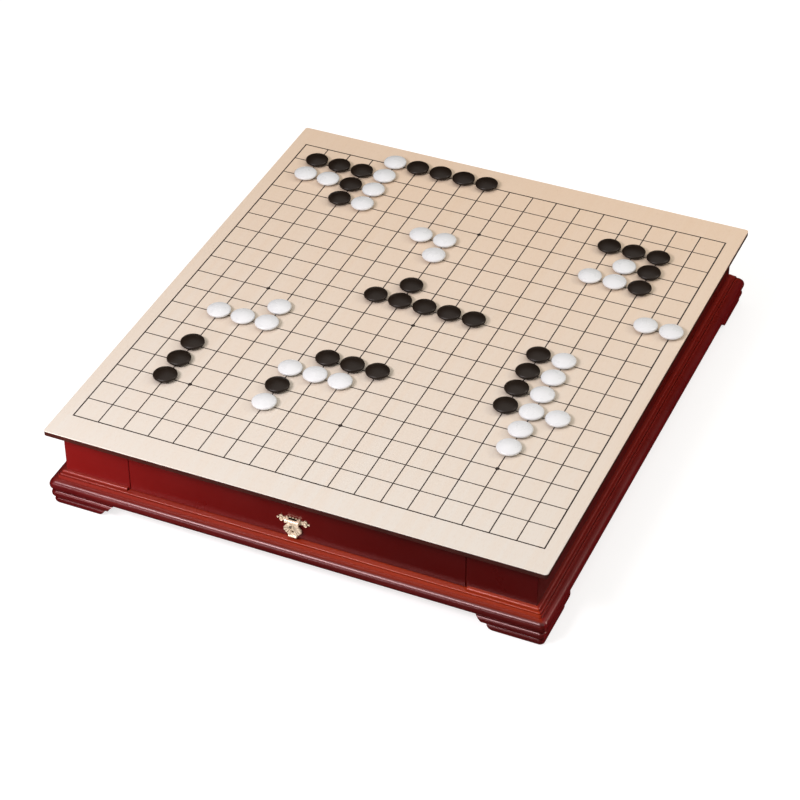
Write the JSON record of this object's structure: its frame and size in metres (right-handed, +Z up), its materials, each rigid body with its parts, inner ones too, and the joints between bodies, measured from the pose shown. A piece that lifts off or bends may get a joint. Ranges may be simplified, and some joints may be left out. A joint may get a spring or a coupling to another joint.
{
  "type": "go board with stone drawers",
  "caption": "Go board on a low moulded case with bracket feet, a lens-stone game on top, and a flush stone drawer with a brass drop pull at the front and at the rear.",
  "frame": {"origin": "on the floor under the middle of the case", "axes": "+X to the right along the front, +Y from the front drawer to the rear drawer, +Z up"},
  "size_m": [0.4234, 0.482, 0.0825],
  "materials": {
    "red_lacquered_wood": "satin-gloss cherry-red lacquer over wood",
    "plain_softwood": "bare sanded wood",
    "pale_veneer": "pale veneer under satin lacquer",
    "dark_edge_paint": "dark brown satin paint",
    "aged_brass": "cast brass, lightly tarnished in the hollows",
    "black_stone": "satin black",
    "white_stone": "satin off-white"
  },
  "bodies": {
    "case": {"base_moulding_front": "red_lacquered_wood", "base_moulding_left": "red_lacquered_wood", "base_moulding_rear": "red_lacquered_wood", "base_moulding_right": "red_lacquered_wood", "bead_front_left": "red_lacquered_wood", "bead_front_right": "red_lacquered_wood", "bead_left": "red_lacquered_wood", "bead_rear_left": "red_lacquered_wood", "bead_rear_right": "red_lacquered_wood", "bead_right": "red_lacquered_wood", "board_core": "dark_edge_paint", "board_veneer": "pale_veneer", "bottom_panel": "plain_softwood", "case_side_left": "red_lacquered_wood", "case_side_right": "red_lacquered_wood", "centre_divider": "plain_softwood", "corner_block_front_left": "plain_softwood", "corner_block_front_right": "plain_softwood", "corner_block_rear_left": "plain_softwood", "corner_block_rear_right": "plain_softwood", "drawer_guide_front_left": "plain_softwood", "drawer_guide_front_right": "plain_softwood", "drawer_guide_rear_left": "plain_softwood", "drawer_guide_rear_right": "plain_softwood", "foot_block_front_left": "plain_softwood", "foot_block_front_right": "plain_softwood", "foot_block_rear_left": "plain_softwood", "foot_block_rear_right": "plain_softwood", "foot_front_left": "red_lacquered_wood", "foot_front_right": "red_lacquered_wood", "foot_left_front": "red_lacquered_wood", "foot_left_rear": "red_lacquered_wood", "foot_rear_left": "red_lacquered_wood", "foot_rear_right": "red_lacquered_wood", "foot_right_front": "red_lacquered_wood", "foot_right_rear": "red_lacquered_wood", "stile_front_left": "red_lacquered_wood", "stile_front_right": "red_lacquered_wood", "stile_rear_left": "red_lacquered_wood", "stile_rear_right": "red_lacquered_wood"},
    "front_drawer": {"front_drawer_back": "plain_softwood", "front_drawer_bottom": "plain_softwood", "front_drawer_front": "red_lacquered_wood", "front_drawer_side_left": "plain_softwood", "front_drawer_side_right": "plain_softwood", "front_pull_plate": "aged_brass", "front_pull_pin": "aged_brass", "front_pull_nails": "aged_brass"},
    "rear_drawer": {"rear_drawer_back": "plain_softwood", "rear_drawer_bottom": "plain_softwood", "rear_drawer_front": "red_lacquered_wood", "rear_drawer_side_left": "plain_softwood", "rear_drawer_side_right": "plain_softwood", "rear_pull_plate": "aged_brass", "rear_pull_pin": "aged_brass", "rear_pull_nails": "aged_brass"},
    "front_pull": {"front_pull_drop": "aged_brass"},
    "rear_pull": {"rear_pull_drop": "aged_brass"},
    "black_stones": {"black_stones": "black_stone"},
    "white_stones": {"white_stones": "white_stone"}
  },
  "joints": [
    {"name": "front_drawer_slide", "type": "slide", "parent": "case", "child": "front_drawer", "axis": [0, -1, 0], "range_m": [0, 0.18]},
    {"name": "rear_drawer_slide", "type": "slide", "parent": "case", "child": "rear_drawer", "axis": [0, 1, 0], "range_m": [0, 0.18]},
    {"name": "front_pull_swing", "type": "hinge", "parent": "front_drawer", "child": "front_pull", "pos_m": [0, -0.2316, 0.0461], "axis": [-1, 0, 0], "range_deg": [0, 90]},
    {"name": "rear_pull_swing", "type": "hinge", "parent": "rear_drawer", "child": "rear_pull", "pos_m": [0, 0.2316, 0.0461], "axis": [1, 0, 0], "range_deg": [0, 90]},
    {"name": "black_stones_lift", "type": "slide", "parent": "case", "child": "black_stones", "axis": [0, 0, 1], "range_m": [0, 0.02]},
    {"name": "white_stones_lift", "type": "slide", "parent": "case", "child": "white_stones", "axis": [0, 0, 1], "range_m": [0, 0.02]}
  ]
}
